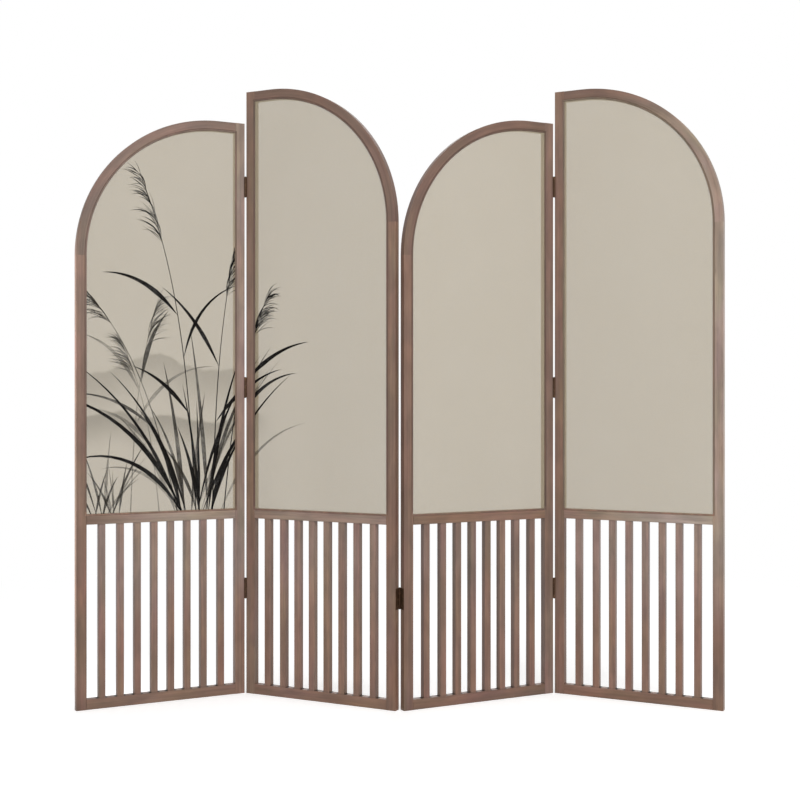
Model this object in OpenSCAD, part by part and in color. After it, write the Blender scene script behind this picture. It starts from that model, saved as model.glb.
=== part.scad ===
// Four-panel folding screen with quarter-round heads, gauze fields and slatted feet.
// Millimetres. +X runs along the screen, -Y is its front and +Z is up.
// The origin is on the floor, under the middle of the screen as it stands.
// Inside a panel, x runs from the long stile to the short one and y from front to back.

/* [Screen] */
// Height of the two tall panels
tall_height = 1800; // [1600:10:2000]
// Drop from the top of a tall panel to the top of a short one
step_down = 94; // [40:2:200]
// Width of one panel
panel_width = 500; // [480:5:600]
// Turn of each panel out of the screen's line, as it stands
stand_angle = 26.4; // [10:0.1:40]

/* [Frame] */
// Width of stiles and rails, seen from the front
frame_face = 29.5; // [24:0.5:34]
// Thickness of the frame, front to back
frame_depth = 23; // [20:0.5:26]
// Rounding of the long edges
edge_round = 1.5; // [0.5:0.1:2]
// Outer radius of the quarter-round head
arch_radius = 418; // [320:2:440]
// Height of the mid rail's top edge
mid_rail_top = 554; // [440:2:760]

/* [Joinery] */
// Thickness of a frame tenon, front to back
tenon_thick = 8; // [5:0.5:9]
// Length of the rail and head tenons
tenon_length = 18; // [10:1:20]
// Shoulder left on each edge of a frame tenon
tenon_shoulder = 5; // [3:0.5:8]
// Play on each side of a tenon in its mortise
mortise_play = 0.1; // [0.05:0.05:0.3]

/* [Slats] */
// Number of slats in a panel
slat_count = 8; // [5:1:10]
// Width of a slat, seen from the front
slat_width = 19; // [12:0.5:22]
// How far a slat lies inside the frame's front and back faces
slat_setback = 1; // [0.5:0.5:3]
// How much wider the two outer gaps on each side are than the inner gaps
outer_gap_extra = 4; // [0:0.5:10]
// Length of the stub tenon on each end of a slat
slat_tenon = 8; // [4:0.5:12]
// Shoulder left round a slat's stub tenon
slat_shoulder = 3; // [1.5:0.5:4]

/* [Gauze] */
// Thickness of the stretched gauze
gauze_thick = 0.4; // [0.3:0.1:0.8]
// Width of the bead that holds the gauze in, seen from the front
bead_face = 4.5; // [3:0.5:6]
// Thickness of the bead
bead_thick = 2.4; // [1.5:0.1:4]
// How far the bead lies behind the frame's front face
bead_setback = 0.8; // [0.2:0.1:1.5]
// Rounding of the bead's front edge
bead_round = 1.2; // [0.5:0.1:1.4]
// Play between the rebate's wall and the bead or the gauze
rebate_play = 0.3; // [0.1:0.1:0.5]
// Hairline gap where one strip of the bead meets the next
strip_gap = 0.2; // [0.1:0.1:0.4]

/* [Hinges] */
// Height of a hinge
hinge_height = 60; // [50:1:76]
// Height of the lowest hinge's middle
hinge_low = 315; // [250:5:370]
// Drop from a short panel's top to the highest hinge's middle
hinge_high_drop = 190; // [120:5:260]
// Thickness of a leaf
leaf_thick = 1.6; // [1.2:0.1:2]
// How deep a leaf is let into the stile's edge
leaf_inset = 1.1; // [0.6:0.1:1.2]
// Gap between the two leaves when the panels stand in one line
leaf_gap = 0.6; // [0.4:0.1:1.6]
// How far a leaf stops short of the frame's other face
leaf_margin = 2; // [0.5:0.5:4]
// Outer radius of the knuckles
knuckle_radius = 3; // [2.6:0.1:3.6]
// Gap between the knuckles and the frame's face
knuckle_clear = 0.2; // [0.1:0.1:0.6]
// Gap between one knuckle and the next
knuckle_gap = 0.2; // [0.1:0.05:0.4]
// Number of knuckles on a hinge
knuckle_count = 5; // [3:2:7]
// Radius of the hinge pin
pin_radius = 1.5; // [1.2:0.1:1.8]
// Radial play of the pin in the knuckles
pin_play = 0.05; // [0.02:0.01:0.1]
// Radius of the pin's head
pin_head_radius = 2.5; // [2.2:0.1:2.9]
// Thickness of the pin's head
pin_head = 1.4; // [0.8:0.1:2]

/* [Screws] */
// Number of screws in a leaf
screw_count = 3; // [2:1:4]
// Radius of a screw's shank
screw_radius = 1.5; // [1.2:0.1:1.8]
// Radius of a screw's countersunk head
screw_head_radius = 2.8; // [2.4:0.1:3.2]
// Length of a screw
screw_length = 16; // [10:1:20]
// Radius left at a screw's tip
screw_tip = 0.3; // [0.2:0.1:0.6]
// Play round a screw
screw_play = 0.1; // [0.05:0.05:0.2]
// Width of the slot in a screw's head
slot_width = 0.7; // [0.5:0.1:1]
// Depth of the slot in a screw's head
slot_depth = 0.6; // [0.3:0.1:0.8]

/* [Hidden] */
short_height = tall_height - step_down;
arch_run = panel_width - arch_radius;
mid_rail_low = mid_rail_top - frame_face;
field_width = panel_width - 2 * frame_face;
rebate_face = bead_face + rebate_play;
rebate_depth = bead_setback + bead_thick + gauze_thick;

slat_depth = frame_depth - 2 * slat_setback;
slat_foot = frame_face;
slat_gap = (field_width - slat_count * slat_width - 4 * outer_gap_extra) / (slat_count + 1);

// Where a hinge's axis lies, seen from the end of the panel and from its face
leaf_seat = leaf_gap / 2 + leaf_thick;
pivot_out = leaf_seat - leaf_inset;
pivot_proud = knuckle_radius + knuckle_clear;
knuckle_pitch = hinge_height / knuckle_count;
leaf_end = pivot_proud + frame_depth - leaf_margin;
leaf_start = pivot_proud;
screw_row = (leaf_start + leaf_end) / 2;
screw_stagger = (leaf_end - leaf_start) / 8;
screw_pitch = hinge_height / screw_count;
hinge_high = short_height - hinge_high_drop;

// The fold axes: the outer two lie back, the middle one lies forward
span_x = panel_width + 2 * pivot_out;
span_y = frame_depth + 2 * pivot_proud;
fold_x = span_x * cos(stand_angle) + span_y * sin(stand_angle);
fold_y = (span_x * sin(stand_angle) - span_y * cos(stand_angle)) / 2;

// Cuts run this far past the faces that they open
past = 1;

WOOD = [0.54, 0.44, 0.39];
DARK_WOOD = [0.43, 0.36, 0.31];
GAUZE = [0.78, 0.75, 0.68];
BRONZE = [0.27, 0.21, 0.16];

PANEL_PARTS = [
    "long_stile", "short_stile", "arched_rail", "mid_rail", "bottom_rail", "slats", "gauze", "bead"
];

$fn = 48;
// Fineness of the head's wide curves, where they are drawn as facets
HEAD_FACETS = 240;

// Panels 1 and 3 are the short ones
function panel_height(n) = n % 2 == 1 ? short_height : tall_height;

// The outer folds have three hinges and the middle fold has only the lowest
function hinge_heights(k) = k == 2 ? [hinge_low] : [hinge_low, (hinge_low + hinge_high) / 2, hinge_high];

// Middle of slat i, counted from the long stile: the two gaps next to each stile are the wider ones
function wide_gaps(i) = min(i + 1, 2) + max(i - slat_count + 2, 0);
function slat_middle(i) =
    frame_face + (i + 1) * slat_gap + wide_gaps(i) * outer_gap_extra + (i + 0.5) * slat_width;

// Rectangle from the origin with round corners
module round_rect(w, d, r) {
    translate([r, 0]) square([w - 2 * r, d]);
    translate([0, r]) square([w, d - 2 * r]);
    for (x = [r, w - r], y = [r, d - r]) translate([x, y]) circle(r);
}

// Section of a frame member: x from its outer edge to the opening, y from front to back
module member_section(rebated) {
    if (rebated) {
        round_rect(frame_face - rebate_face, frame_depth, edge_round);
        translate([0, rebate_depth]) round_rect(frame_face, frame_depth - rebate_depth, edge_round);
    } else {
        round_rect(frame_face, frame_depth, edge_round);
    }
}

// Section of the bead: x from the rebate's wall to the opening
module bead_section() {
    square([bead_face - bead_round, bead_thick]);
    translate([0, bead_round]) square([bead_face, bead_thick - bead_round]);
    translate([bead_face - bead_round, bead_round]) circle(bead_round);
}

// Lays a section down along x, with its own x pointing up
module along_x(from, to, z) {
    translate([to, 0, z]) rotate([0, -90, 0]) linear_extrude(to - from) children();
}

// Sweeps a section along the head's quarter circle: x is measured inwards from the outer edge
module round_the_head(height, radius) {
    translate([arch_run, 0, height - arch_radius]) rotate([90, 0, 0])
        rotate_extrude(angle = 90, $fn = HEAD_FACETS)
            mirror([0, 1]) translate([radius, 0]) mirror([1, 0]) children();
}

// Tenon that points along x, and the mortise that takes it
module rail_tenon(x, z, play) {
    wide = frame_face - 2 * tenon_shoulder + 2 * play;
    thick = tenon_thick + 2 * play;
    long = tenon_length + play;
    translate([x - long, (frame_depth - thick) / 2, z + tenon_shoulder - play])
        cube([long + past, thick, wide]);
}

// Tenon that points down from the foot of the head into the short stile
module head_tenon(z, play) {
    wide = frame_face - 2 * tenon_shoulder + 2 * play;
    thick = tenon_thick + 2 * play;
    long = tenon_length + play;
    translate([panel_width - frame_face + tenon_shoulder - play, (frame_depth - thick) / 2, z - long])
        cube([wide, thick, long + past]);
}

// Mirrors a shape from the long stile's end of the panel to the short stile's end
module other_end() {
    translate([panel_width, 0, 0]) mirror([1, 0, 0]) children();
}

// The hinges at one end of a panel: its own axis, with the panel on the +x side of it
module at_hinges(n, k) {
    for (z = hinge_heights(k)) {
        if (k == 2)
            translate([panel_width + pivot_out, frame_depth + pivot_proud, z])
                rotate([0, 0, 180]) children();
        else
            translate([-pivot_out, -pivot_proud, z]) children();
    }
}

// Where a leaf's screws sit, pointing into the stile: every second one is nearer the knuckles
module at_screws() {
    for (i = [0:screw_count - 1]) {
        row = screw_row + (i % 2 == 0 ? -screw_stagger : screw_stagger);
        translate([leaf_seat, row, (i - (screw_count - 1) / 2) * screw_pitch])
            rotate([0, 90, 0]) children();
    }
}

// What a hinge takes out of a stile's edge: a shallow seat for the leaf and its screws' pilot holes
module hinge_seats(n, k) {
    wide = leaf_end + mortise_play - pivot_proud + past;
    at_hinges(n, k) {
        translate([pivot_out - past, pivot_proud - past, -hinge_height / 2 - mortise_play])
            cube([leaf_inset + past, wide, hinge_height + 2 * mortise_play]);
        at_screws() translate([0, 0, -past])
            cylinder(r = screw_radius + screw_play, h = screw_length + past);
    }
}

module rail_mortises(play) {
    rail_tenon(frame_face, 0, play);
    rail_tenon(frame_face, mid_rail_low, play);
}

module long_stile(n) {
    height = panel_height(n);
    field_from = mid_rail_top - rebate_face;
    field_to = height - frame_face + rebate_face;
    color(WOOD) difference() {
        union() {
            linear_extrude(field_from) member_section(false);
            translate([0, 0, field_from]) linear_extrude(field_to - field_from) member_section(true);
            translate([0, 0, field_to]) linear_extrude(height - field_to) member_section(false);
        }
        rail_mortises(mortise_play);
        rail_tenon(frame_face, height - frame_face, mortise_play);
        hinge_seats(n, n < 3 ? 1 : 3);
    }
}

module short_stile(n) {
    spring = panel_height(n) - arch_radius;
    field_from = mid_rail_top - rebate_face;
    color(WOOD) difference() {
        other_end() {
            linear_extrude(field_from) member_section(false);
            translate([0, 0, field_from]) linear_extrude(spring - field_from) member_section(true);
        }
        other_end() rail_mortises(mortise_play);
        head_tenon(spring, mortise_play);
        if (n == 2 || n == 3) hinge_seats(n, 2);
    }
}

// The head: a short straight run beside the long stile, then a quarter circle
module arched_rail(n) {
    height = panel_height(n);
    color(WOOD) {
        translate([0, 0, height]) mirror([0, 0, 1]) along_x(frame_face, arch_run, 0) member_section(true);
        round_the_head(height, arch_radius) member_section(true);
        rail_tenon(frame_face, height - frame_face, 0);
        head_tenon(height - arch_radius, 0);
    }
}

module rail(z, rebated) {
    along_x(frame_face, panel_width - frame_face, z) member_section(rebated);
    rail_tenon(frame_face, z, 0);
    other_end() rail_tenon(frame_face, z, 0);
}

// Sockets for the slats' stub tenons
module slat_sockets(z) {
    for (i = [0:slat_count - 1]) slat_stub(i, z, mortise_play);
}

// Stub tenon of slat i, with its middle at height z
module slat_stub(i, z, play) {
    wide = slat_width - 2 * slat_shoulder + 2 * play;
    thick = slat_depth - 2 * slat_shoulder + 2 * play;
    translate([slat_middle(i) - wide / 2, (frame_depth - thick) / 2, z - slat_tenon - play])
        cube([wide, thick, 2 * (slat_tenon + play)]);
}

module mid_rail(n) {
    color(WOOD) difference() {
        rail(mid_rail_low, true);
        slat_sockets(mid_rail_low);
    }
}

module bottom_rail(n) {
    color(WOOD) difference() {
        rail(0, false);
        slat_sockets(slat_foot);
    }
}

module slats(n) {
    color(WOOD) for (i = [0:slat_count - 1]) {
        translate([slat_middle(i) - slat_width / 2, slat_setback, slat_foot])
            linear_extrude(mid_rail_low - slat_foot) round_rect(slat_width, slat_depth, edge_round);
        slat_stub(i, slat_foot, 0);
        slat_stub(i, mid_rail_low, 0);
    }
}

// Outline of the gauze: the opening, grown to reach under the bead
module gauze_outline(height, grow) {
    left = frame_face - grow;
    bottom = mid_rail_top - grow;
    spring = height - arch_radius;
    radius = arch_radius - frame_face + grow;
    translate([left, bottom]) square([panel_width - 2 * left, spring - bottom]);
    translate([left, bottom]) square([arch_run - left, spring + radius - bottom]);
    translate([arch_run, spring]) intersection() {
        circle(radius, $fn = HEAD_FACETS);
        square(radius);
    }
}

module gauze(n) {
    color(GAUZE) translate([0, rebate_depth, 0]) rotate([90, 0, 0])
        linear_extrude(gauze_thick) gauze_outline(panel_height(n), bead_face);
}

// Four strips that hold the gauze in the rebate: foot, long side, short side and head
module bead(n) {
    height = panel_height(n);
    spring = height - arch_radius;
    wall = frame_face - bead_face;
    foot = mid_rail_top + strip_gap;
    color(DARK_WOOD) translate([0, bead_setback, 0]) {
        along_x(wall, panel_width - wall, mid_rail_top - bead_face) bead_section();
        translate([wall, 0, foot]) linear_extrude(height - frame_face - strip_gap - foot) bead_section();
        other_end() translate([wall, 0, foot]) linear_extrude(spring - strip_gap - foot) bead_section();
        translate([0, 0, height - wall]) mirror([0, 0, 1]) along_x(wall, arch_run, 0) bead_section();
        round_the_head(height, arch_radius - wall) bead_section();
    }
}

// Stretch of the hinge that knuckle i takes, with half a gap off each end that meets a neighbour
module knuckle_stretch(i, extra) {
    foot_gap = i == 0 ? 0 : knuckle_gap / 2;
    top_gap = i == knuckle_count - 1 ? 0 : knuckle_gap / 2;
    low = -hinge_height / 2 + i * knuckle_pitch + foot_gap - extra;
    high = -hinge_height / 2 + (i + 1) * knuckle_pitch - top_gap + extra;
    translate([0, 0, low]) linear_extrude(high - low) children();
}

// Leaf with every second knuckle, from the first or from the second one on
module leaf(first) {
    difference() {
        union() {
            translate([leaf_gap / 2, 0, -hinge_height / 2]) cube([leaf_thick, leaf_end, hinge_height]);
            for (i = [first:2:knuckle_count - 1]) knuckle_stretch(i, 0) circle(knuckle_radius);
        }
        for (i = [1 - first:2:knuckle_count - 1]) knuckle_stretch(i, knuckle_gap)
            translate([-past, -past]) square([leaf_seat + 2 * past, pivot_proud + past]);
        translate([0, 0, -hinge_height]) cylinder(r = pin_radius + pin_play, h = 2 * hinge_height);
        at_screws() translate([0, 0, -leaf_thick]) screw_hole();
    }
}

// Countersunk hole for a screw, opened past both faces of the leaf
module screw_hole() {
    sink = screw_head_radius - screw_radius;
    translate([0, 0, -past]) cylinder(r = screw_radius + screw_play, h = leaf_thick + 2 * past);
    translate([0, 0, -past]) cylinder(r = screw_head_radius + screw_play, h = past);
    cylinder(r1 = screw_head_radius + screw_play, r2 = screw_radius + screw_play, h = sink);
}

// Countersunk screw: the head's face is at z = 0 and the shank points up
module screw() {
    sink = screw_head_radius - screw_radius;
    point = screw_radius;
    difference() {
        union() {
            cylinder(r1 = screw_head_radius, r2 = screw_radius, h = sink);
            cylinder(r = screw_radius, h = screw_length - point);
            translate([0, 0, screw_length - point])
                cylinder(r1 = screw_radius, r2 = screw_tip, h = point);
        }
        translate([-slot_width / 2, -screw_head_radius, -past])
            cube([slot_width, 2 * screw_head_radius, slot_depth + past]);
    }
}

// The leaf with the end knuckles is on panel 2 at the first two folds and on panel 3 at the last
function first_knuckle(k, n) = n == 2 || (k == 3 && n == 3) ? 0 : 1;

module leaves(k, n) {
    color(BRONZE) at_hinges(n, k) leaf(first_knuckle(k, n));
}

module screws(k, n) {
    color(BRONZE) at_hinges(n, k) at_screws() translate([0, 0, screw_play - leaf_thick]) screw();
}

module pins(k) {
    x = [-fold_x, 0, fold_x][k - 1];
    y = k == 2 ? -fold_y : fold_y;
    color(BRONZE) for (z = hinge_heights(k)) translate([x, y, z]) {
        translate([0, 0, -hinge_height / 2]) cylinder(r = pin_radius, h = hinge_height);
        for (end = [0, 1]) mirror([0, 0, end]) translate([0, 0, hinge_height / 2])
            cylinder(r1 = pin_head_radius, r2 = pin_radius, h = pin_head);
    }
}

// Stands panel n in its place. Panels 2 and 4 are turned one way, and 1 and 3 are mirror images of them
module place(n) {
    side = n == 1 || n == 4 ? 1 : -1;
    mirror([n % 2, 0, 0]) translate([side * fold_x, fold_y, 0]) rotate([0, 0, -stand_angle])
        translate([pivot_out, pivot_proud, 0]) children();
}

for (n = [1:4]) {
    place(n) long_stile(n);
    place(n) short_stile(n);
    place(n) arched_rail(n);
    place(n) mid_rail(n);
    place(n) bottom_rail(n);
    place(n) slats(n);
    place(n) gauze(n);
    place(n) bead(n);
}
for (k = [1:3]) {
    for (n = [k, k + 1]) {
        place(n) leaves(k, n);
        place(n) screws(k, n);
    }
    pins(k);
}
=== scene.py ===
import math
import random

import bpy
from mathutils import Matrix, Vector


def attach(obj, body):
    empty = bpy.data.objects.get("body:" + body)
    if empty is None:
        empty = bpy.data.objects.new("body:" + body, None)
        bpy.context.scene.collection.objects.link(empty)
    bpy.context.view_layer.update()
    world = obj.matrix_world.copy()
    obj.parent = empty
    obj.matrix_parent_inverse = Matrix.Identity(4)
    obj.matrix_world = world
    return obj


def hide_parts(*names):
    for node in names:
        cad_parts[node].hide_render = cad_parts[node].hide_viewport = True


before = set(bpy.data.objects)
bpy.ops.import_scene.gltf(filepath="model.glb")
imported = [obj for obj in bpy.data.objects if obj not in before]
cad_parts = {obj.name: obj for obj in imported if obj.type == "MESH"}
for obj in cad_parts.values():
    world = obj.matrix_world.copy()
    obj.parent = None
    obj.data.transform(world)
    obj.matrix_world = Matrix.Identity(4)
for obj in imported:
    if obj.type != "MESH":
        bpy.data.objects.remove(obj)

# Blender's own start objects go, and the CAD nodes, which come in selected,
# are deselected.
for startup in ("Cube", "Light", "Camera"):
    if startup in bpy.data.objects:
        bpy.data.objects.remove(bpy.data.objects[startup])
bpy.ops.object.select_all(action="DESELECT")
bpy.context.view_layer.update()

# Stiles: the two upright posts of each panel, sawn from walnut, stained and
# given a thin satin lacquer. The grain runs up the post. The screen stands in
# a zigzag, and each panel has its own frame of x across, y back and z up.
PANELS = (1, 2, 3, 4)
TALL, SHORT = 1.8, 1.706
PANEL_HEIGHT = {1: SHORT, 2: TALL, 3: SHORT, 4: TALL}
PANEL_WIDTH = 0.5
FRAME_FACE, FRAME_DEPTH = 0.0295, 0.023
STAND_ANGLE = math.radians(26.4)
PIVOT_OUT, PIVOT_PROUD = 0.0008, 0.0032

# The outer folds' hinge pins, to the side of the screen's middle and behind it
SPAN_ACROSS = PANEL_WIDTH + 2 * PIVOT_OUT
SPAN_DEEP = FRAME_DEPTH + 2 * PIVOT_PROUD
FOLD_X = SPAN_ACROSS * math.cos(STAND_ANGLE) + SPAN_DEEP * math.sin(STAND_ANGLE)
FOLD_Y = (SPAN_ACROSS * math.sin(STAND_ANGLE) - SPAN_DEEP * math.cos(STAND_ANGLE)) / 2


def panel_place(n):
    """Where panel n stands, from its long stile's front foot. Panels 1 and 3 are mirror images."""
    side = 1 if n in (1, 4) else -1
    place = Matrix.Translation((side * FOLD_X, FOLD_Y, 0)) @ Matrix.Rotation(-STAND_ANGLE, 4, "Z")
    place = place @ Matrix.Translation((PIVOT_OUT, PIVOT_PROUD, 0))
    return Matrix.Scale(-1, 4, (1, 0, 0)) @ place if n % 2 else place


def srgb(red, green, blue):
    """A colour as a picture shows it, 0 to 255, made linear."""
    return tuple((c / 255) ** 2.2 for c in (red, green, blue)) + (1.0,)


def shaded(colour, share):
    """The same hue, darker or lighter by a factor."""
    return tuple(share * c for c in colour[:3]) + (1.0,)


def new_finish(name):
    finish = bpy.data.materials.new(name)
    finish.use_nodes = True
    finish.node_tree.nodes.clear()
    return finish, finish.node_tree


def wire(tree, kind, inputs, output=0, **settings):
    """Adds a node, sets or links its inputs, and gives the output named."""
    made = tree.nodes.new(kind)
    for key, value in settings.items():
        setattr(made, key, value)
    for key, value in inputs.items():
        socket = made.inputs[key]
        if isinstance(value, bpy.types.NodeSocket):
            tree.links.new(value, socket)
        else:
            socket.default_value = value
    return made.outputs[output] if made.outputs else None


def sums(tree, operation, *values):
    """One sum, worked on sockets or numbers."""
    return wire(tree, "ShaderNodeMath", dict(enumerate(values)), operation=operation)


def times(tree, *factors):
    """All the factors multiplied together."""
    product = factors[0]
    for factor in factors[1:]:
        product = sums(tree, "MULTIPLY", product, factor)
    return product


def apart(tree, value, place):
    """How far a value lies from a place, to either side."""
    return sums(tree, "ABSOLUTE", sums(tree, "SUBTRACT", value, place))


def spread(tree, value, low, high, to_low=0.0, to_high=1.0, smooth=True):
    """Maps low..high to a new range, eased at both ends unless smooth is off."""
    ends = {0: value, 1: low, 2: high, 3: to_low, 4: to_high}
    return wire(tree, "ShaderNodeMapRange", ends, interpolation_type="SMOOTHSTEP" if smooth else "LINEAR")


def blended(tree, factor, first, second, blend="MIX"):
    colours = {0: factor, 6: first, 7: second}
    return wire(tree, "ShaderNodeMix", colours, 2, data_type="RGBA", blend_type=blend)


def split(tree, point):
    """The x, y and z of a point."""
    parts = tree.nodes.new("ShaderNodeSeparateXYZ")
    tree.links.new(point, parts.inputs[0])
    return parts.outputs


def mottle(tree, point, scale, detail, roughness=0.5, seed=None, output=0):
    """Noise at a point: in three dimensions, or in four, at the place that the seed names."""
    inputs = {"Vector": point, "Scale": scale, "Detail": detail, "Roughness": roughness}
    if seed is None:
        return wire(tree, "ShaderNodeTexNoise", inputs, output)
    return wire(tree, "ShaderNodeTexNoise", inputs | {"W": seed}, output, noise_dimensions="4D")


def raised(tree, height, strength, deep):
    """A surface that stands out where height is great. deep is in metres."""
    return wire(tree, "ShaderNodeBump", {"Strength": strength, "Distance": deep, "Height": height})


def coat(tree, looks):
    """Ends a finish with its shader."""
    shader = wire(tree, "ShaderNodeBsdfPrincipled", looks)
    wire(tree, "ShaderNodeOutputMaterial", {"Surface": shader})


def panel_coordinates(tree, n):
    """Object coordinates turned into panel n's own frame."""
    mirrored = n % 2 == 1
    way_back = {
        "Vector": wire(tree, "ShaderNodeTexCoord", {}, "Object"),
        "Location": panel_place(n).translation,
        "Rotation": (0, 0, STAND_ANGLE if mirrored else -STAND_ANGLE),
        "Scale": (-1 if mirrored else 1, 1, 1),
    }
    return wire(tree, "ShaderNodeMapping", way_back, vector_type="TEXTURE")


# Tones that the stain took, from one board and member to the next; bead, dark bead and olive are painted
# shade
TONES = {
    "ash": srgb(150, 133, 120),
    "pale": srgb(143, 124, 110),
    "light": srgb(132, 110, 98),
    "straw": srgb(126, 102, 89),
    "fawn": srgb(120, 96, 83),
    "tan": srgb(123, 94, 79),
    "russet": srgb(119, 90, 74),
    "brown": srgb(113, 86, 71),
    "dusk": srgb(123, 100, 89),
    "dusky brown": srgb(116, 90, 78),
    "olive": srgb(104, 87, 71),
    "umber": srgb(105, 79, 65),
    "bead": srgb(100, 77, 64),
    "dark bead": srgb(89, 66, 54),
}

# Noise keeps close to 0.5. Nearly all of it lies in the span, and most in the core.
NOISE_SPAN, NOISE_CORE = (0.3, 0.7), (0.34, 0.66)

# The figure of the wood: how often each thing changes in a metre along the
# grain, across it and through the board, and how much darker and lighter
# than the stain it makes the wood
WANDER, WANDER_SHADES = (4.0, 14.0, 14.0), (0.92, 1.08)
STREAKS, STREAK_SHADES = (1.6, 150.0, 90.0), (0.85, 1.15)
PATCHES, PATCH_SHADES = (11.0, 34.0, 34.0), (0.87, 1.13)
CLOUDS, CLOUD_LOW, CLOUD_HIGH = (5.0, 26.0, 26.0), (0.91, 0.93, 0.90), (1.09, 1.07, 1.10)
PORES, PORE_EDGE, PORE_STRENGTH = (34.0, 1500.0, 900.0), (0.60, 0.70), 0.40
GRAIN_BEND = 0.016
# The darkest colour, as a share of the tone: in the pores, and as painted shade at joints and edges
DARKEST_STAIN_AND_SHADE = 0.35
# Painted shade where a board meets others: how far along it reaches, and its strength
CORNER_SHADE_REACH, CORNER_SHADE_STRENGTH = 0.005, 0.3
STREAK_RELIEF, PORE_RELIEF = 0.35, 0.5
LACQUER_DULL, LACQUER_BRIGHT = 0.58, 0.48


def walnut(name, n, grain, tones, turning, seed, shaded_ends=(), painted_shade=None):
    """Stained walnut. grain says which way is along and which is across, in panel n's own frame.

    The board passes from the first tone to the second between the two places along it that
    turning names. Where the board meets others, at the places along it that are given, painted shade darkens
    it.
    A last function, where one is given, adds painted shade to the colour, and roughness, for that member.
    """
    finish, tree = new_finish(name)
    x, y, z = split(tree, panel_coordinates(tree, n))
    along, across = grain(tree, n, x, z)

    def figure(changes, side, detail, roughness=0.5, output=0):
        scaled = [times(tree, *pair) for pair in zip((along, side, y), changes)]
        point = wire(tree, "ShaderNodeCombineXYZ", dict(enumerate(scaled)))
        return mottle(tree, point, 1.0, detail, roughness, seed, output)

    wander = figure(WANDER, across, detail=3.0)
    bent = sums(tree, "MULTIPLY_ADD", wander, GRAIN_BEND, across)
    streaks = figure(STREAKS, bent, detail=6.0, roughness=0.62)
    pores = figure(PORES, bent, detail=2.0)
    clouds = figure(CLOUDS, bent, detail=3.0, output=1)
    patches = figure(PATCHES, bent, detail=2.0)

    first, second = (TONES[tone] for tone in tones)
    dark = shaded(first, DARKEST_STAIN_AND_SHADE)
    board = blended(tree, spread(tree, along, *turning), first, second)
    low, high = ((end, end, end) for end in NOISE_SPAN)
    hues = {6: clouds, 7: low, 8: high, 9: CLOUD_LOW, 10: CLOUD_HIGH}
    hued = wire(tree, "ShaderNodeMapRange", hues, 1, data_type="FLOAT_VECTOR")
    clouded = blended(tree, 1.0, board, hued, "MULTIPLY")
    shade = times(
        tree,
        spread(tree, streaks, *NOISE_CORE, *STREAK_SHADES),
        spread(tree, wander, *NOISE_SPAN, *WANDER_SHADES),
        spread(tree, patches, *NOISE_CORE, *PATCH_SHADES),
    )
    streaked = wire(tree, "ShaderNodeVectorMath", {0: clouded, "Scale": shade}, operation="SCALE")
    dashes = spread(tree, pores, *PORE_EDGE)
    colour = blended(tree, times(tree, dashes, PORE_STRENGTH), streaked, dark)
    # Painted shade, darker where the board meets other members
    for shaded_end in shaded_ends:
        corner_shade = spread(tree, apart(tree, along, shaded_end), 0.0, CORNER_SHADE_REACH, CORNER_SHADE_STRENGTH, 0.0)
        colour = blended(tree, corner_shade, colour, dark)
    roughness = spread(tree, streaks, *NOISE_SPAN, LACQUER_DULL, LACQUER_BRIGHT, smooth=False)
    # Painted shade that a member has of its own, where a function for it is given
    if painted_shade:
        colour, roughness = painted_shade(tree, (x, y, z), first, colour, roughness)
    relief = sums(tree, "SUBTRACT", times(tree, streaks, STREAK_RELIEF), times(tree, dashes, PORE_RELIEF))
    looks = {
        "Base Color": colour,
        "Roughness": roughness,
        "Normal": raised(tree, relief, strength=0.5, deep=0.0002),
        "Coat Weight": 0.12,
        "Coat Roughness": 0.35,
    }
    coat(tree, looks)
    return finish


def upright_grain(tree, n, x, z):
    """Along is up the member, and across is its face."""
    return z, x


def dress(node_name, finish):
    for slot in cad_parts[node_name].material_slots:
        slot.material = finish


LONG_STILES = {1: ("tan", "light"), 2: ("fawn", "brown"), 3: ("dusk", "dusky brown"), 4: ("russet", "brown")}
SHORT_STILES = {1: ("brown", "russet"), 2: ("russet", "russet"), 3: ("brown", "brown"), 4: ("brown", "pale")}
LONG_TURNING, SHORT_TURNING = (0.15, 0.45), (0.15, 0.50)
for n in PANELS:
    seed = 3.1 * n
    post = walnut(f"walnut_long_stile_{n}", n, upright_grain, LONG_STILES[n], LONG_TURNING, seed)
    dress(f"panel_{n}_long_stile", post)
    post = walnut(f"walnut_short_stile_{n}", n, upright_grain, SHORT_STILES[n], SHORT_TURNING, seed + 2.2)
    dress(f"panel_{n}_short_stile", post)

# Arched rails: the head of each panel, a short straight run and a quarter
# circle in one bent member, tenoned into both stiles. Same stained walnut, its
# grain following the bend.
ARCH_RADIUS = 0.418
ARCH_RUN = PANEL_WIDTH - ARCH_RADIUS


def bent_grain(tree, n, x, z):
    """Along is the straight run and on round the bend, and across is from the bend's centre."""
    past_run = sums(tree, "MAXIMUM", sums(tree, "SUBTRACT", x, ARCH_RUN), 0.0)
    over_centre = sums(tree, "SUBTRACT", z, PANEL_HEIGHT[n] - ARCH_RADIUS)
    bend = times(tree, sums(tree, "ARCTAN2", past_run, over_centre), ARCH_RADIUS)
    along = sums(tree, "ADD", sums(tree, "MINIMUM", x, ARCH_RUN), bend)
    squares = sums(tree, "ADD", sums(tree, "POWER", past_run, 2.0), sums(tree, "POWER", over_centre, 2.0))
    return along, sums(tree, "SQRT", squares)


HEADS = {1: ("brown", "umber"), 2: ("umber", "umber"), 3: ("umber", "umber"), 4: ("umber", "pale")}
HEAD_TURNING = (0.12, 0.54)
for n in PANELS:
    head = walnut(f"walnut_head_{n}", n, bent_grain, HEADS[n], HEAD_TURNING, seed=5.3 * n + 0.8)
    dress(f"panel_{n}_arched_rail", head)

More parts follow.
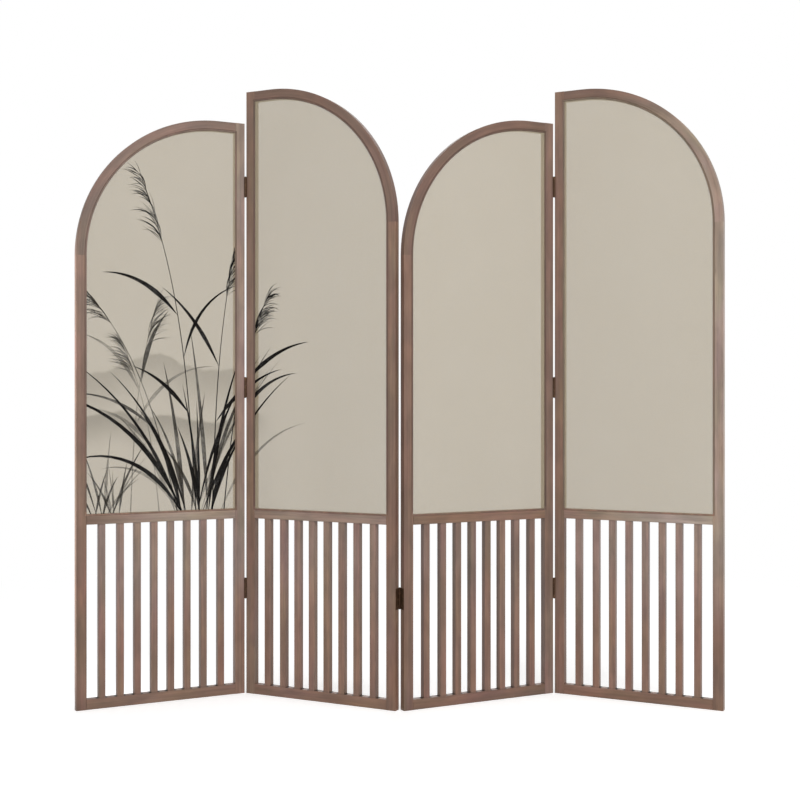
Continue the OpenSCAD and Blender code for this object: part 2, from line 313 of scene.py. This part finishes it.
# Mid and bottom rails: level members tenoned into the stiles, with sockets for the
# slats. Same stained walnut, grain from stile to stile. Painted shadow lies round the
# slats' feet on the bottom rail's top, rougher there, and painted shade on its low edge.
MID_RAIL_TOP = 0.554
SLAT_COUNT, SLAT_WIDTH = 8, 0.019
WIDE_GAPS, WIDER_BY = 4, 0.004
SLAT_FIELD = PANEL_WIDTH - 2 * FRAME_FACE
SLAT_GAP = (SLAT_FIELD - SLAT_COUNT * SLAT_WIDTH - WIDE_GAPS * WIDER_BY) / (SLAT_COUNT + 1)

# The two gaps next to each stile are the wider ones. Each slat comes after its gap, and the last
# gap has none.
slat_middles = []
edge = FRAME_FACE
for slat in range(SLAT_COUNT):
    wide = slat < 2 or slat == SLAT_COUNT - 1
    edge += SLAT_GAP + (WIDER_BY if wide else 0)
    slat_middles.append(edge + SLAT_WIDTH / 2)
    edge += SLAT_WIDTH

# Where the painted shadow round a foot fades: past the slat, under the rail's top
# and inside its front and back faces
PAST_SLAT, UNDER_TOP, INSIDE_FACE = (0.004, 0.010), (0.0015, 0.0003), (0.0022, 0.0012)
# How dark the painted foot shadow is, as a share of the tone, and the rail's roughness there
FOOT_SHADOW_SHARE, FOOT_ROUGHNESS = 0.08, 0.95
# Painted shade on the rail's lower edge: how high it reaches, and its strength
LOW_EDGE_SHADE_REACH, LOW_EDGE_SHADE_STRENGTH = 0.004, 0.35


def level_grain(tree, n, x, z):
    """Along is from stile to stile, and across is up the member's face."""
    return x, z


def painted_foot_shadows(tree, own, tone, colour, roughness):
    """Painted shadow round each slat's foot, rougher there, and painted shade on the rail's lower edge."""
    x, y, z = own
    nearest = 1.0
    for middle in slat_middles:
        nearest = sums(tree, "MINIMUM", apart(tree, x, middle), nearest)
    beside_slat = spread(tree, nearest, *(SLAT_WIDTH / 2 + reach for reach in PAST_SLAT), 1.0, 0.0)
    on_top = spread(tree, z, *(FRAME_FACE - reach for reach in UNDER_TOP))
    off_middle = apart(tree, y, FRAME_DEPTH / 2)
    behind_face = spread(tree, off_middle, *(FRAME_DEPTH / 2 - reach for reach in INSIDE_FACE), 1.0, 0.0)
    foot_shadow = times(tree, beside_slat, on_top, behind_face)
    colour = blended(tree, foot_shadow, colour, shaded(tone, FOOT_SHADOW_SHARE))
    low_edge_shade = spread(tree, z, 0.0, LOW_EDGE_SHADE_REACH, LOW_EDGE_SHADE_STRENGTH, 0.0)
    colour = blended(tree, low_edge_shade, colour, shaded(tone, DARKEST_STAIN_AND_SHADE))
    return colour, sums(tree, "MAXIMUM", roughness, times(tree, foot_shadow, FOOT_ROUGHNESS))


MID_RAILS = {1: ("pale", "umber"), 2: ("light", "light"), 3: ("tan", "brown"), 4: ("straw", "ash")}
MID_TURNING = {1: (0.15, 0.55), 2: (0.10, 0.40), 3: (0.10, 0.40), 4: (0.05, 0.36)}
BOTTOM_RAILS = {1: ("tan", "tan"), 2: ("russet", "russet"), 3: ("brown", "brown"), 4: ("russet", "russet")}
BOTTOM_TURNING = (0.10, 0.40)
for n in PANELS:
    rail = walnut(f"walnut_mid_rail_{n}", n, level_grain, MID_RAILS[n], MID_TURNING[n], seed=7.7 * n)
    dress(f"panel_{n}_mid_rail", rail)
    rail = walnut(
        f"walnut_bottom_rail_{n}",
        n,
        level_grain,
        BOTTOM_RAILS[n],
        BOTTOM_TURNING,
        seed=7.7 * n + 2.3,
        # Paints shadow round the slats' feet and shade along the rail's lower edge
        painted_shade=painted_foot_shadows,
    )
    dress(f"panel_{n}_bottom_rail", rail)

# Slats: eight thin uprights in the lower part of each panel, with stub tenons
# in the rails. Each is a stick of its own of the same stained walnut. Painted
# shade makes it darker right at the rails.
SLATS = {1: ("tan", "light"), 2: ("tan", "straw"), 3: ("tan", "fawn"), 4: ("tan", "light")}
SLAT_TURNING = (0.15, 0.45)
SLAT_ENDS = (FRAME_FACE, MID_RAIL_TOP - FRAME_FACE)
for n in PANELS:
    sticks = walnut(f"walnut_slats_{n}", n, upright_grain, SLATS[n], SLAT_TURNING, 9.1 * n, SLAT_ENDS)
    dress(f"panel_{n}_slats", sticks)

# Beads: four thin strips a panel, pressed into the rebate to hold the gauze.
# They are darker, as painted shade, which draws a fine line round the opening. The
# strip along the mid rail catches more light and is painted paler.
# Tones below and above the mid rail's top: the darker tones above are painted shade
BEADS = {1: ("tan", "bead"), 2: ("brown", "dark bead"), 3: ("brown", "dark bead"), 4: ("tan", "olive")}
BEAD_TURNING = (MID_RAIL_TOP + 0.001, MID_RAIL_TOP + 0.011)
for n in PANELS:
    strips = walnut(f"walnut_bead_{n}", n, upright_grain, BEADS[n], BEAD_TURNING, seed=11.9 * n)
    dress(f"panel_{n}_bead", strips)

# Gauze: one sheet of loosely woven linen to each panel, stretched in the
# rebate behind the bead. It is see-through, so its threads and the gaps
# between them are in its alpha. Faint hills are washed on panels 1 and 2.
GAUZE_LAP, GAUZE_FRONT, GAUZE_THICK = 0.0045, 0.0032, 0.0004
GAUZE_EDGE = FRAME_FACE - GAUZE_LAP
GAUZE_LOW = MID_RAIL_TOP - GAUZE_LAP
GAUZE_WIDTH = PANEL_WIDTH - 2 * GAUZE_EDGE
GAUZE_LENGTH = {height: height - GAUZE_EDGE - GAUZE_LOW for height in (SHORT, TALL)}
GAUZE_CORNER = ARCH_RADIUS - GAUZE_EDGE
CORNER_STEPS, GAUZE_COLUMNS, GAUZE_ROWS = 48, 6, 15


def deselect():
    if bpy.context.object and bpy.context.object.mode != "OBJECT":
        bpy.ops.object.mode_set(mode="OBJECT")
    bpy.ops.object.select_all(action="DESELECT")


def gauze_cut(length):
    """The cut sheet: a rectangle with one corner rounded to a quarter circle."""
    middle = (PANEL_WIDTH / 2, GAUZE_FRONT, GAUZE_LOW + length / 2)
    deselect()
    bpy.ops.mesh.primitive_plane_add(size=1, location=middle, rotation=(math.pi / 2, 0, 0))
    cut = bpy.context.object
    bpy.ops.object.transform_apply(location=True, rotation=True, scale=True)
    bpy.ops.object.mode_set(mode="EDIT")
    bpy.ops.mesh.select_all(action="SELECT")
    bpy.ops.transform.resize(value=(GAUZE_WIDTH, 1, length), center_override=middle)
    bpy.ops.mesh.select_mode(type="VERT")
    bpy.ops.mesh.select_all(action="DESELECT")
    bpy.ops.object.mode_set(mode="OBJECT")
    for vertex in cut.data.vertices:
        vertex.select = vertex.co.x > middle[0] and vertex.co.z > middle[2]
    bpy.ops.object.mode_set(mode="EDIT")
    bpy.ops.mesh.bevel(offset=GAUZE_CORNER, segments=CORNER_STEPS, profile=0.5, affect="VERTICES")
    for column in range(1, GAUZE_COLUMNS):
        x = GAUZE_EDGE + column * GAUZE_WIDTH / GAUZE_COLUMNS
        bpy.ops.mesh.select_all(action="SELECT")
        bpy.ops.mesh.bisect(plane_co=(x, 0, 0), plane_no=(1, 0, 0))
    for row in range(1, GAUZE_ROWS):
        z = GAUZE_LOW + row * length / GAUZE_ROWS
        bpy.ops.mesh.select_all(action="SELECT")
        bpy.ops.mesh.bisect(plane_co=(0, 0, z), plane_no=(0, 0, 1))
    bpy.ops.mesh.uv_texture_add()
    bpy.ops.object.mode_set(mode="OBJECT")
    return cut


def put_in_panel(piece, n):
    """Takes a piece from its panel's own frame to where the panel stands, faces outward."""
    piece.data.transform(panel_place(n))
    if n % 2:
        piece.data.flip_normals()


# The picture runs over the fold of panels 1 and 2. Its x is 0 there, and below 0 on panel 1.
PICTURE_SIDE = {1: -1, 2: 1}
FAR_HILLS = {"base": 0.86, "height": 0.24, "fade": 0.16, "strength": 0.30, "seed": 2.4}
NEAR_HILLS = {"base": 0.72, "height": 0.20, "fade": 0.12, "strength": 0.42, "seed": 9.6}
HILLS_A_METRE, CREST = 4.2, 0.010
HILLS_FADE_OUT = (-0.02, 0.10)


def wash_of_hills(tree, reach, rise, base, height, fade, strength, seed):
    """How much ink wash lies at a point: a ridge line, dense at its top and fading downward."""
    line = wire(tree, "ShaderNodeCombineXYZ", {0: times(tree, reach, HILLS_A_METRE), 1: seed})
    ridge = mottle(tree, line, scale=1.0, detail=3.0, roughness=0.45)
    under = sums(tree, "SUBTRACT", sums(tree, "MULTIPLY_ADD", ridge, height, base), rise)
    below_crest = spread(tree, under, 0.0, CREST)
    fading = spread(tree, under, 0.0, fade, 1.0, 0.0)
    ends = spread(tree, reach, *HILLS_FADE_OUT, 1.0, 0.0)
    return times(tree, below_crest, fading, ends, strength)


GAUZE_COLOUR, GAP_SHADE, THREAD_LIGHT = srgb(187, 174, 148), 0.82, 0.25
YELLOWING, YELLOW_EDGE = (1.0, 0.99, 0.97, 1.0), (0.35, 0.65)
GAP_ALPHA, THREAD_ALPHA, UNEVEN_ALPHA = 0.431, 0.591, (0.99, 1.01)
THREAD_PITCH, THREAD_SWAY, THREAD_EDGE = 0.0011, 2.2, (-0.2, 0.9)
SLUBS_ACROSS, SLUBS_ALONG, SLUB_SPAN, SLUB_SHADES = 700.0, 9.0, (0.2, 0.8), (0.88, 1.08)
WASH_COLOUR, WASH_ALPHA = srgb(70, 66, 58), 0.25


def linen(name, n):
    """Uneven threads both ways, more see-through in the gaps between them."""
    finish, tree = new_finish(name)
    cloth = wire(tree, "ShaderNodeUVMap", {})
    across, up, _ = split(tree, cloth)

    def threads(side, run, seed):
        slubs = {0: times(tree, side, SLUBS_ACROSS), 1: times(tree, run, SLUBS_ALONG), 2: seed}
        wander = mottle(tree, wire(tree, "ShaderNodeCombineXYZ", slubs), scale=1.0, detail=2.0)
        turns = times(tree, side, 2 * math.pi / THREAD_PITCH)
        wave = sums(tree, "COSINE", sums(tree, "MULTIPLY_ADD", wander, THREAD_SWAY, turns))
        return times(tree, spread(tree, wave, *THREAD_EDGE), spread(tree, wander, *SLUB_SPAN, *SLUB_SHADES))

    weave = sums(tree, "MAXIMUM", threads(across, up, seed=1.3), threads(up, across, seed=7.9))
    uneven = mottle(tree, cloth, scale=5.0, detail=3.0)
    alpha = spread(tree, weave, 0.0, 1.0, GAP_ALPHA, THREAD_ALPHA, smooth=False)
    alpha = times(tree, alpha, spread(tree, uneven, *NOISE_SPAN, *UNEVEN_ALPHA))
    yellowed = tuple(c * share for c, share in zip(GAUZE_COLOUR, YELLOWING))
    colour = blended(tree, spread(tree, uneven, *YELLOW_EDGE), GAUZE_COLOUR, yellowed)
    colour = blended(tree, times(tree, weave, THREAD_LIGHT), shaded(GAUZE_COLOUR, GAP_SHADE), colour)
    if n in PICTURE_SIDE:
        far = wash_of_hills(tree, across, up, **FAR_HILLS)
        near = wash_of_hills(tree, across, up, **NEAR_HILLS)
        wash = sums(tree, "MAXIMUM", far, near)
        colour = blended(tree, wash, colour, WASH_COLOUR)
        alpha = sums(tree, "MULTIPLY_ADD", wash, WASH_ALPHA, alpha)
    looks = {
        "Base Color": colour,
        "Roughness": 0.85,
        "Alpha": alpha,
        "Normal": raised(tree, weave, strength=0.35, deep=0.0001),
        "Sheen Weight": 0.1,
        "Specular IOR Level": 0.25,
    }
    coat(tree, looks)
    return finish


cuts = {height: gauze_cut(length) for height, length in GAUZE_LENGTH.items()}
for n in PANELS:
    gauze = cuts[PANEL_HEIGHT[n]].copy()
    gauze.data = gauze.data.copy()
    gauze.name = f"gauze_{n}"
    bpy.context.scene.collection.objects.link(gauze)
    uv = gauze.data.uv_layers[0].data
    for loop in gauze.data.loops:
        place = gauze.data.vertices[loop.vertex_index].co
        uv[loop.index].uv = (PICTURE_SIDE.get(n, 1) * place.x, place.z)
    put_in_panel(gauze, n)
    deselect()
    gauze.select_set(True)
    bpy.context.view_layer.objects.active = gauze
    thickness = gauze.modifiers.new("thickness", "SOLIDIFY")
    thickness.thickness = GAUZE_THICK
    thickness.offset = -1
    bpy.ops.object.modifier_apply(modifier="thickness")
    gauze.data.materials.clear()
    gauze.data.materials.append(linen(f"linen_{n}", n))
    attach(gauze, f"panel_{n}")
    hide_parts(f"panel_{n}_gauze")
for cut in cuts.values():
    bpy.data.objects.remove(cut)

# Print: reeds in ink, brushed over the gauze of panel 1 and running on to the
# left edge of panel 2. One design is laid out across the fold, then cut to
# each opening. Each brush stroke is a thin film on the front of the gauze.
INK_FRONT, INK_FLATNESS, INK_STEP = 0.00306, 0.012, 0.00002
INK_MARGIN, ROUND_CUTS = 0.0001, 15
REED_FOOT, BLADE_FOOT = 0.545, 0.54
FINEST_HALF, FULLNESS, CURL_GROWTH = 0.0002, 0.75, 1.4
STEM_STEPS, STEM_HALF, STEM_TAPER = 24, 0.0021, 0.6
PLUME_HAIRS, PLUME_STEPS, HAIR_GAIN = 54, 5, 0.03
brush = random.Random(26)
strokes = {"faint": [], "soft": [], "deep": []}


def curved_stroke(start, lean, length, bend, width, belly=0.35, steps=14):
    """Points of one brush stroke, each (x, z, half width).

    lean is from upright, positive to the right, and belly is the share at which it is widest.
    """
    x, z = start
    stroke = []
    for step in range(steps + 1):
        t = step / steps
        swell = t / belly if t < belly else (1 - t) / (1 - belly)
        stroke.append((x, z, max(width / 2 * swell**FULLNESS, FINEST_HALF)))
        angle = lean + bend * t**CURL_GROWTH
        x += math.sin(angle) * length / steps
        z += math.cos(angle) * length / steps
    return stroke


def reed(foot, lean, length, bend, tone, leaves):
    """A stem with broad leaves and a plume that hangs to one side of its tip.

    Each leaf is (share of the stem, side).
    """
    x, z = foot, REED_FOOT
    stem, angles = [], []
    for step in range(STEM_STEPS + 1):
        t = step / STEM_STEPS
        stem.append((x, z, STEM_HALF * (1 - STEM_TAPER * t)))
        angles.append(lean + bend * t * t)
        x += math.sin(angles[-1]) * length / STEM_STEPS
        z += math.cos(angles[-1]) * length / STEM_STEPS
    strokes[tone].append(stem)
    for share, side in leaves:
        at = int(share * STEM_STEPS)
        outward = angles[at] + side * brush.uniform(0.35, 0.6)
        leaf_length = brush.uniform(0.20, 0.32)
        droop = side * brush.uniform(0.5, 1.3)
        leaf_width = brush.uniform(0.011, 0.017)
        strokes[tone].append(curved_stroke(stem[at][:2], outward, leaf_length, droop, leaf_width))
    hang = 1 if bend > 0 else -1
    for hair in range(PLUME_HAIRS):
        share = hair / PLUME_HAIRS
        at = STEM_STEPS - int(share * PLUME_STEPS)
        slide = brush.uniform(0, length / STEM_STEPS)
        root = (stem[at][0] - math.sin(angles[at]) * slide, stem[at][1] - math.cos(angles[at]) * slide)
        fall = angles[at] + hang * brush.uniform(-0.25, 0.75)
        hair_length = brush.uniform(0.035, 0.06) + HAIR_GAIN * share
        droop = hang * brush.uniform(0.4, 1.3)
        hair_width = brush.uniform(0.0016, 0.0034)
        hair_tone = tone if hair % 3 else "soft"
        hair_stroke = curved_stroke(root, fall, hair_length, droop, hair_width, belly=0.5, steps=6)
        strokes[hair_tone].append(hair_stroke)


def blade(tone, foot, start_lean, lean, lengths, curls, widths):
    """A blade of grass. Its length, curl and width are drawn from these ranges."""
    length = brush.uniform(*lengths)
    curl = lean * brush.uniform(*curls)
    width = brush.uniform(*widths)
    strokes[tone].append(curved_stroke((foot, BLADE_FOOT), start_lean, length, curl, width))


reed(-0.150, lean=-0.06, length=1.00, bend=-0.34, tone="deep", leaves=((0.30, -1), (0.46, 1), (0.62, -1)))
reed(-0.100, lean=0.03, length=0.80, bend=0.20, tone="deep", leaves=((0.34, 1), (0.55, -1)))
reed(-0.205, lean=-0.22, length=0.74, bend=-0.62, tone="soft", leaves=((0.36, -1), (0.55, 1)))
reed(-0.065, lean=0.10, length=0.66, bend=0.36, tone="deep", leaves=((0.42, 1), (0.60, 1)))
reed(-0.260, lean=-0.10, length=0.52, bend=-0.40, tone="faint", leaves=((0.40, -1),))
reed(-0.345, lean=0.04, length=0.62, bend=0.28, tone="faint", leaves=((0.42, 1), (0.60, -1)))

# Grass grows in a big clump at the reeds' feet and a small one to the left. In the big one, a
# blade that leans far stands farther out, and it leaves the ground more upright than it leans.
BIG_CLUMP, BIG_MIDDLE = 26, -0.145
SMALL_CLUMP, SMALL_MIDDLE = 15, -0.405
CLUMP_SCATTER, FOOT_SHIFT, START_SHARE = 0.022, 0.07, 0.7


def fanned(i, count, stride, least, fan):
    """Blade i's lean: the clump fans out evenly, but is brushed in a mixed order."""
    return least + fan * (i * stride % count) / (count - 1)


for i in range(BIG_CLUMP):
    lean = fanned(i, BIG_CLUMP, stride=7, least=-0.72, fan=1.3) + brush.uniform(-0.06, 0.06)
    foot = BIG_MIDDLE + FOOT_SHIFT * lean + brush.gauss(0, CLUMP_SCATTER)
    tone = ("deep", "soft", "deep", "faint")[i % 4]
    start = START_SHARE * lean
    blade(tone, foot, start, lean, lengths=(0.26, 0.58), curls=(0.9, 2.0), widths=(0.009, 0.017))
for i in range(SMALL_CLUMP):
    lean = fanned(i, SMALL_CLUMP, stride=4, least=-0.4, fan=0.9)
    foot = SMALL_MIDDLE + brush.gauss(0, CLUMP_SCATTER)
    tone = ("soft", "faint")[i % 2]
    blade(tone, foot, lean, lean, lengths=(0.12, 0.26), curls=(0.8, 1.6), widths=(0.006, 0.010))

BRUSH_DRY, BRUSH_FULL, POOL_SHADE = 0.36, 0.58, 1.5


def ink(name, colour, thin, thick):
    """Ink in the cloth: darkest where the brush was full, thinner where it ran dry."""
    finish, tree = new_finish(name)
    here = wire(tree, "ShaderNodeTexCoord", {}, "Object")
    dry = mottle(tree, here, scale=60.0, detail=5.0, roughness=0.7)
    pool = mottle(tree, here, scale=14.0, detail=1.0)
    load = sums(tree, "ADD", times(tree, dry, 0.5), times(tree, pool, 0.5))
    looks = {
        "Base Color": blended(tree, pool, colour, shaded(colour, POOL_SHADE)),
        "Roughness": 0.8,
        "Alpha": spread(tree, load, BRUSH_DRY, BRUSH_FULL, thin, thick),
        "Specular IOR Level": 0.2,
    }
    coat(tree, looks)
    return finish


def opening_edges(n):
    """The planes round panel n's opening, each as a point on it and the way inward."""
    left = FRAME_FACE + INK_MARGIN
    low = MID_RAIL_TOP + INK_MARGIN
    edges = [((left, 0, 0), (1, 0, 0)), ((PANEL_WIDTH - left, 0, 0), (-1, 0, 0)), ((0, 0, low), (0, 0, 1))]
    centre = Vector((ARCH_RUN, 0, PANEL_HEIGHT[n] - ARCH_RADIUS))
    for step in range(ROUND_CUTS + 1):
        turn = math.pi / 2 * step / ROUND_CUTS
        outward = Vector((math.sin(turn), 0, math.cos(turn)))
        edges.append((centre + (ARCH_RADIUS - left) * outward, -outward))
    return edges


def brushed_film(name, drawn, side, front):
    """The strokes as round rods along their lines, flattened to one film in front of the gauze."""
    deselect()
    bpy.ops.curve.primitive_bezier_curve_add()
    rods = bpy.context.object
    rods.name = name
    rods.data.splines.clear()
    rods.data.bevel_depth = 1.0
    rods.data.bevel_resolution = 1
    rods.data.use_fill_caps = True
    for stroke in drawn:
        line = rods.data.splines.new("POLY")
        line.points.add(len(stroke) - 1)
        for point, (x, z, half) in zip(line.points, stroke):
            point.co = (side * x, 0, z, 1)
            point.radius = half
    bpy.ops.object.convert(target="MESH")
    bpy.ops.object.mode_set(mode="EDIT")
    bpy.ops.mesh.select_all(action="SELECT")
    bpy.ops.transform.resize(value=(1, INK_FLATNESS, 1), center_override=(0, 0, 0))
    bpy.ops.transform.translate(value=(0, front, 0))
    bpy.ops.object.mode_set(mode="OBJECT")
    return bpy.context.object


INKS = {
    "deep": ink("ink_deep", srgb(17, 14, 11), thin=0.62, thick=0.95),
    "soft": ink("ink_soft", srgb(50, 45, 37), thin=0.28, thick=0.60),
    "faint": ink("ink_faint", srgb(84, 78, 66), thin=0.12, thick=0.30),
}
printed = {n: [] for n in PANELS}
for layer, (tone, drawn) in enumerate(strokes.items()):
    for n, side in PICTURE_SIDE.items():
        film = brushed_film(f"print_{tone}_{n}", drawn, side, INK_FRONT - INK_STEP * layer)
        bpy.ops.object.mode_set(mode="EDIT")
        for on_edge, inward in opening_edges(n):
            bpy.ops.mesh.select_all(action="SELECT")
            bpy.ops.mesh.bisect(plane_co=on_edge, plane_no=inward, clear_inner=True, use_fill=True)
        bpy.ops.object.mode_set(mode="OBJECT")
        put_in_panel(film, n)
        film.data.materials.clear()
        film.data.materials.append(INKS[tone])
        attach(film, f"panel_{n}")
        printed[n].append(film)

# Hinges: butt hinges of dark bronze, with five knuckles on a headed pin, let
# into the stiles and held by countersunk slotted screws. Their brown finish is
# rubbed a little brighter in patches.
RUBBED_EDGE = (0.48, 0.70)
BRONZE_DULL, BRONZE_BRIGHT = 0.62, 0.48


def bronze(name, shade, rubbed, seed):
    finish, tree = new_finish(name)
    here = wire(tree, "ShaderNodeTexCoord", {}, "Object")
    patina = mottle(tree, here, scale=90.0, detail=5.0, roughness=0.65, seed=seed)
    grit = mottle(tree, here, scale=900.0, detail=2.0, seed=seed)
    worn = spread(tree, patina, *RUBBED_EDGE)
    looks = {
        "Base Color": blended(tree, worn, shade, rubbed),
        "Metallic": 0.55,
        "Roughness": spread(tree, worn, 0.0, 1.0, BRONZE_DULL, BRONZE_BRIGHT, smooth=False),
        "Normal": raised(tree, grit, strength=0.3, deep=0.0001),
    }
    coat(tree, looks)
    return finish


leaf_bronze = bronze("bronze_leaf", srgb(70, 50, 34), srgb(101, 75, 53), seed=1.0)
pin_bronze = bronze("bronze_pin", srgb(60, 42, 29), srgb(93, 69, 48), seed=4.0)
screw_bronze = bronze("bronze_screw", srgb(70, 53, 40), srgb(118, 93, 71), seed=8.0)
for fold in ((1, 2), (2, 3), (3, 4)):
    hinge = f"hinge_{fold[0]}{fold[1]}"
    dress(f"{hinge}_pins", pin_bronze)
    for n in fold:
        dress(f"{hinge}_leaves_{n}", leaf_bronze)
        dress(f"{hinge}_screws_{n}", screw_bronze)

# Studio: a level camera in front, about hip high, white surroundings and floor,
# a broad soft light from the front right, fainter ones at the left and behind,
# and two narrow upright ones that brighten the outer edges.
CAMERA_AT, LENS, SENSOR = (0.0008, -3.6696, 0.878), 56.61, 36

sight = bpy.data.cameras.new("camera")
sight.sensor_width = SENSOR
sight.lens = LENS
camera = bpy.data.objects.new("camera", sight)
camera.location = CAMERA_AT
camera.rotation_euler = (math.pi / 2, 0, 0)
bpy.context.scene.collection.objects.link(camera)
bpy.context.scene.camera = camera


def soft_light(name, place, aim, size, power, beam=180):
    glow = bpy.data.lights.new(name, "AREA")
    glow.shape = "RECTANGLE"
    glow.size, glow.size_y = size
    glow.energy = power
    glow.spread = math.radians(beam)
    lamp = bpy.data.objects.new(name, glow)
    lamp.location = place
    lamp.visible_camera = False
    lamp.rotation_euler = (Vector(aim) - Vector(place)).to_track_quat("-Z", "Y").to_euler()
    bpy.context.scene.collection.objects.link(lamp)


SCREEN_MIDDLE = (0, 0, 0.9)
soft_light("key", place=(2.0, -4.2, 3.0), aim=SCREEN_MIDDLE, size=(2.2, 2.2), power=134.0)
soft_light("fill", place=(-3.6, -3.0, 2.0), aim=SCREEN_MIDDLE, size=(3.0, 3.0), power=36.0)
soft_light("back", place=(0.6, 4.4, 3.0), aim=SCREEN_MIDDLE, size=(3.2, 3.2), power=60.0)
EDGE_LAMP, OUTER_EDGE = (1.07, -0.16, 0.69), (0.86, 0.04, 0.69)
for name, side, power in (("left edge", -1, 2.2), ("right edge", 1, 0.3)):
    place, aim = ((side * out, back, up) for out, back, up in (EDGE_LAMP, OUTER_EDGE))
    soft_light(name, place, aim, size=(0.04, 1.26), power=power, beam=70)

WHITE, SKY_LIGHT = (1, 1, 1, 1), 0.50
PAPER, PAPER_LIFT, PAPER_FADE = (0.82, 0.82, 0.82, 1), 0.45, (1.2, 3.0)
FLOOR_SIZE = 24


def looked_at(tree):
    """1 for the rays by which a surface is seen, also in gloss or through glass, and else 0."""
    ray = tree.nodes.new("ShaderNodeLightPath").outputs
    seen = sums(tree, "MAXIMUM", ray["Is Camera Ray"], ray["Is Glossy Ray"])
    return sums(tree, "MAXIMUM", seen, ray["Is Transmission Ray"])


surroundings = bpy.data.worlds.new("surroundings")
surroundings.use_nodes = True
sky = surroundings.node_tree
sky.nodes.clear()
strength = spread(sky, looked_at(sky), 0.0, 1.0, SKY_LIGHT, 1.0, smooth=False)
plain = wire(sky, "ShaderNodeBackground", {"Color": WHITE, "Strength": strength})
wire(sky, "ShaderNodeOutputWorld", {"Surface": plain})
bpy.context.scene.world = surroundings


def white_paper(name):
    """Matt paper that takes the screen's shadow, and is pure white farther out."""
    finish, tree = new_finish(name)
    seen = looked_at(tree)
    spot = wire(tree, "ShaderNodeTexCoord", {}, "Object")
    away = wire(tree, "ShaderNodeVectorMath", {0: spot}, "Value", operation="LENGTH")
    matt = wire(tree, "ShaderNodeBsdfDiffuse", {"Color": PAPER})
    lift = wire(tree, "ShaderNodeEmission", {"Color": WHITE, "Strength": times(tree, seen, PAPER_LIFT)})
    under_screen = wire(tree, "ShaderNodeAddShader", {0: matt, 1: lift})
    farther_out = wire(tree, "ShaderNodeEmission", {"Color": WHITE, "Strength": 1.0})
    fade = times(tree, seen, spread(tree, away, *PAPER_FADE))
    whole = wire(tree, "ShaderNodeMixShader", {0: fade, 1: under_screen, 2: farther_out})
    wire(tree, "ShaderNodeOutputMaterial", {"Surface": whole})
    return finish


deselect()
bpy.ops.mesh.primitive_plane_add(size=FLOOR_SIZE, location=(0, 0, 0))
floor = bpy.context.object
floor.name = "floor"
floor.data.materials.append(white_paper("floor_white"))

bpy.context.scene.view_settings.view_transform = "Standard"
